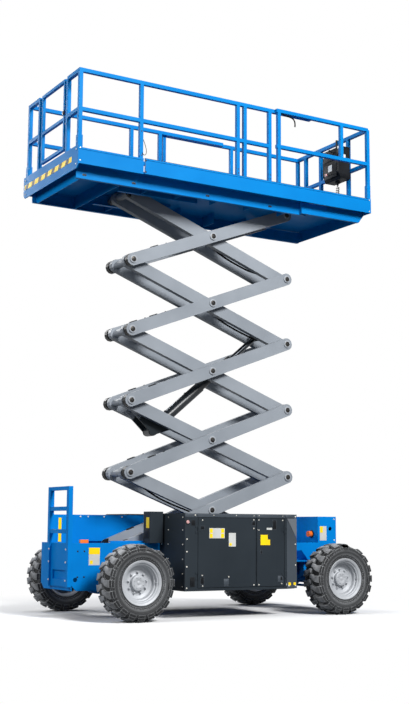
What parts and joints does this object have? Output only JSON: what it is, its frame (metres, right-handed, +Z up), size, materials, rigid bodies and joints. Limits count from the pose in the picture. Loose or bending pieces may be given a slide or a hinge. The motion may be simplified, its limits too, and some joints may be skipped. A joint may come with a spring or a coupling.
{
  "type": "self-propelled scissor lift",
  "caption": "Four-wheeled work platform on a crossed-arm lift, with a roll-out deck, guard rails, hinged cabinet doors and steered front wheels.",
  "frame": {"origin": "on the ground, at the middle of the bounding box, midway between the axles", "axes": "+X towards the steered front axle, +Y towards the far side, +Z up"},
  "size_m": [4.14, 2.26, 6.1845],
  "materials": {
    "tyre_rubber": "matte",
    "silver_rim_paint": "satin",
    "grey_paint": "satin",
    "charcoal_paint": "satin",
    "chrome_rod": "polished",
    "black_paint": "satin",
    "cast_engine": "cast",
    "black_plastic": "textured",
    "cord_rubber": "matte",
    "amber_lens": "gloss",
    "axle_paint": "satin",
    "blue_paint": "gloss"
  },
  "bodies": {
    "chassis": {"chassis_floor": "blue_paint", "chassis_wall_near": "blue_paint", "chassis_wall_far": "blue_paint", "chassis_rear_plate": "blue_paint", "chassis_front_box": "blue_paint", "ladder": "blue_paint", "marker_lamps": "amber_lens", "ground_control_box": "charcoal_paint", "cabinet_near": "charcoal_paint", "cabinet_far": "charcoal_paint", "engine_block": "cast_engine", "rear_axle": "axle_paint", "front_axle": "axle_paint"},
    "platform": {"platform_deck": "blue_paint", "fixed_toe_boards": "blue_paint", "platform_rails": "blue_paint"},
    "extension": {"extension_deck": "blue_paint", "extension_rails": "blue_paint", "platform_control_box": "black_plastic", "control_cord": "cord_rubber"},
    "gate": {"entry_gate": "blue_paint"},
    "barrel": {"cylinder_barrel": "black_paint"},
    "rod": {"cylinder_rod": "chrome_rod"},
    "knuckle_left": {"steering_knuckle_left": "axle_paint"},
    "knuckle_right": {"steering_knuckle_right": "axle_paint"},
    "tie_rod": {"tie_rod": "axle_paint"},
    "inner_1": {"inner_arms_1": "grey_paint"},
    "outer_1": {"outer_arms_1": "grey_paint"},
    "inner_2": {"inner_arms_2": "grey_paint"},
    "outer_2": {"outer_arms_2": "grey_paint"},
    "inner_3": {"inner_arms_3": "grey_paint"},
    "outer_3": {"outer_arms_3": "grey_paint"},
    "inner_4": {"inner_arms_4": "grey_paint"},
    "outer_4": {"outer_arms_4": "grey_paint"},
    "inner_5": {"inner_arms_5": "grey_paint"},
    "outer_5": {"outer_arms_5": "grey_paint"},
    "wheel_rear_right": {"tyre_rear_right": "tyre_rubber", "rim_rear_right": "silver_rim_paint"},
    "wheel_rear_left": {"tyre_rear_left": "tyre_rubber", "rim_rear_left": "silver_rim_paint"},
    "wheel_front_right": {"tyre_front_right": "tyre_rubber", "rim_front_right": "silver_rim_paint"},
    "wheel_front_left": {"tyre_front_left": "tyre_rubber", "rim_front_left": "silver_rim_paint"},
    "door_near_main": {"door_near_main": "charcoal_paint"},
    "door_near_small": {"door_near_small": "charcoal_paint"},
    "door_far_main": {"door_far_main": "charcoal_paint"},
    "door_far_small": {"door_far_small": "charcoal_paint"}
  },
  "joints": [
    {"name": "lift", "type": "hinge", "parent": "chassis", "child": "inner_1", "pos_m": [1.1, 0, 0.795], "axis": [0, 1, 0], "range_deg": [-16.85, 30.65]},
    {"name": "outer_1_centre_pin", "type": "hinge", "parent": "inner_1", "child": "outer_1", "pos_m": [0.00007, 0, 1.21392], "axis": [0, 1, 0], "range_deg": [-61.4, 33.8]},
    {"name": "inner_2_right_pin", "type": "hinge", "parent": "outer_1", "child": "inner_2", "pos_m": [1.1, 0, 1.63284], "axis": [0, 1, 0], "range_deg": [-33.8, 61.4]},
    {"name": "outer_2_centre_pin", "type": "hinge", "parent": "inner_2", "child": "outer_2", "pos_m": [0.00007, 0, 2.05176], "axis": [0, 1, 0], "range_deg": [-61.4, 33.8]},
    {"name": "inner_3_right_pin", "type": "hinge", "parent": "outer_2", "child": "inner_3", "pos_m": [1.1, 0, 2.47068], "axis": [0, 1, 0], "range_deg": [-33.8, 61.4]},
    {"name": "outer_3_centre_pin", "type": "hinge", "parent": "inner_3", "child": "outer_3", "pos_m": [0.00007, 0, 2.8896], "axis": [0, 1, 0], "range_deg": [-61.4, 33.8]},
    {"name": "inner_4_right_pin", "type": "hinge", "parent": "outer_3", "child": "inner_4", "pos_m": [1.1, 0, 3.30853], "axis": [0, 1, 0], "range_deg": [-33.8, 61.4]},
    {"name": "outer_4_centre_pin", "type": "hinge", "parent": "inner_4", "child": "outer_4", "pos_m": [0.00007, 0, 3.72745], "axis": [0, 1, 0], "range_deg": [-61.4, 33.8]},
    {"name": "inner_5_right_pin", "type": "hinge", "parent": "outer_4", "child": "inner_5", "pos_m": [1.1, 0, 4.14637], "axis": [0, 1, 0], "range_deg": [-33.8, 61.4]},
    {"name": "outer_5_centre_pin", "type": "hinge", "parent": "inner_5", "child": "outer_5", "pos_m": [0.00007, 0, 4.56529], "axis": [0, 1, 0], "range_deg": [-61.4, 33.8]},
    {"name": "platform_right_pin", "type": "hinge", "parent": "outer_5", "child": "platform", "pos_m": [1.1, 0, 4.98421], "axis": [0, 1, 0], "range_deg": [-16.95, 30.75]},
    {"name": "cylinder_lower_pin", "type": "hinge", "parent": "inner_2", "child": "barrel", "pos_m": [-0.69132, 0, 2.13853], "axis": [0, 1, 0], "range_deg": [-62.93, 34.64]},
    {"name": "cylinder_stroke", "type": "slide", "parent": "barrel", "child": "rod", "axis": [0.7638, 0, 0.6454], "range_m": [-0.4226, 0.7646]},
    {"name": "deck_extension", "type": "slide", "parent": "platform", "child": "extension", "axis": [1, 0, 0], "range_m": [-0.8, 0]},
    {"name": "gate_hinge", "type": "hinge", "parent": "platform", "child": "gate", "pos_m": [-2.03, 0.356, 5.7], "axis": [0, 0, 1], "range_deg": [0, 95]},
    {"name": "wheel_rear_right_spin", "type": "hinge", "parent": "chassis", "child": "wheel_rear_right", "pos_m": [-1.36, -0.965, 0.415], "axis": [0, 1, 0], "continuous": true},
    {"name": "wheel_rear_left_spin", "type": "hinge", "parent": "chassis", "child": "wheel_rear_left", "pos_m": [-1.36, 0.965, 0.415], "axis": [0, 1, 0], "continuous": true},
    {"name": "wheel_front_right_spin", "type": "hinge", "parent": "knuckle_right", "child": "wheel_front_right", "pos_m": [1.36, -0.965, 0.415], "axis": [0, 1, 0], "continuous": true},
    {"name": "wheel_front_left_spin", "type": "hinge", "parent": "knuckle_left", "child": "wheel_front_left", "pos_m": [1.36, 0.965, 0.415], "axis": [0, 1, 0], "continuous": true},
    {"name": "steer_left", "type": "hinge", "parent": "chassis", "child": "knuckle_left", "pos_m": [1.36, 0.7, 0.415], "axis": [0, 0, 1], "range_deg": [-28, 28]},
    {"name": "steer_right", "type": "hinge", "parent": "chassis", "child": "knuckle_right", "pos_m": [1.36, -0.7, 0.415], "axis": [0, 0, 1], "range_deg": [-28, 28]},
    {"name": "tie_rod_pin", "type": "hinge", "parent": "knuckle_left", "child": "tie_rod", "pos_m": [1.18, 0.64, 0.321], "axis": [0, 0, 1], "range_deg": [-28, 28]},
    {"name": "door_near_main_hinge", "type": "hinge", "parent": "chassis", "child": "door_near_main", "pos_m": [-0.6025, -1.0075, 0.7], "axis": [0, 0, -1], "range_deg": [0, 105]},
    {"name": "door_near_small_hinge", "type": "hinge", "parent": "chassis", "child": "door_near_small", "pos_m": [0.5625, -1.0075, 0.7], "axis": [0, 0, 1], "range_deg": [0, 105]},
    {"name": "door_far_main_hinge", "type": "hinge", "parent": "chassis", "child": "door_far_main", "pos_m": [-0.6025, 1.0075, 0.7], "axis": [0, 0, 1], "range_deg": [0, 105]},
    {"name": "door_far_small_hinge", "type": "hinge", "parent": "chassis", "child": "door_far_small", "pos_m": [0.5625, 1.0075, 0.7], "axis": [0, 0, -1], "range_deg": [0, 105]}
  ],
  "couplings": [
    {"joint": "outer_1_centre_pin", "follows": "lift", "ratio": -2},
    {"joint": "inner_2_right_pin", "follows": "lift", "ratio": 2},
    {"joint": "outer_2_centre_pin", "follows": "lift", "ratio": -2},
    {"joint": "inner_3_right_pin", "follows": "lift", "ratio": 2},
    {"joint": "outer_3_centre_pin", "follows": "lift", "ratio": -2},
    {"joint": "inner_4_right_pin", "follows": "lift", "ratio": 2},
    {"joint": "outer_4_centre_pin", "follows": "lift", "ratio": -2},
    {"joint": "inner_5_right_pin", "follows": "lift", "ratio": 2},
    {"joint": "outer_5_centre_pin", "follows": "lift", "ratio": -2},
    {"joint": "platform_right_pin", "follows": "lift", "ratio": 1},
    {"joint": "cylinder_lower_pin", "follows": "lift", "ratio": -2.05},
    {"joint": "cylinder_stroke", "follows": "lift", "m_per_rad": 1.42},
    {"joint": "steer_right", "follows": "steer_left", "ratio": 1},
    {"joint": "tie_rod_pin", "follows": "steer_left", "ratio": -1}
  ]
}
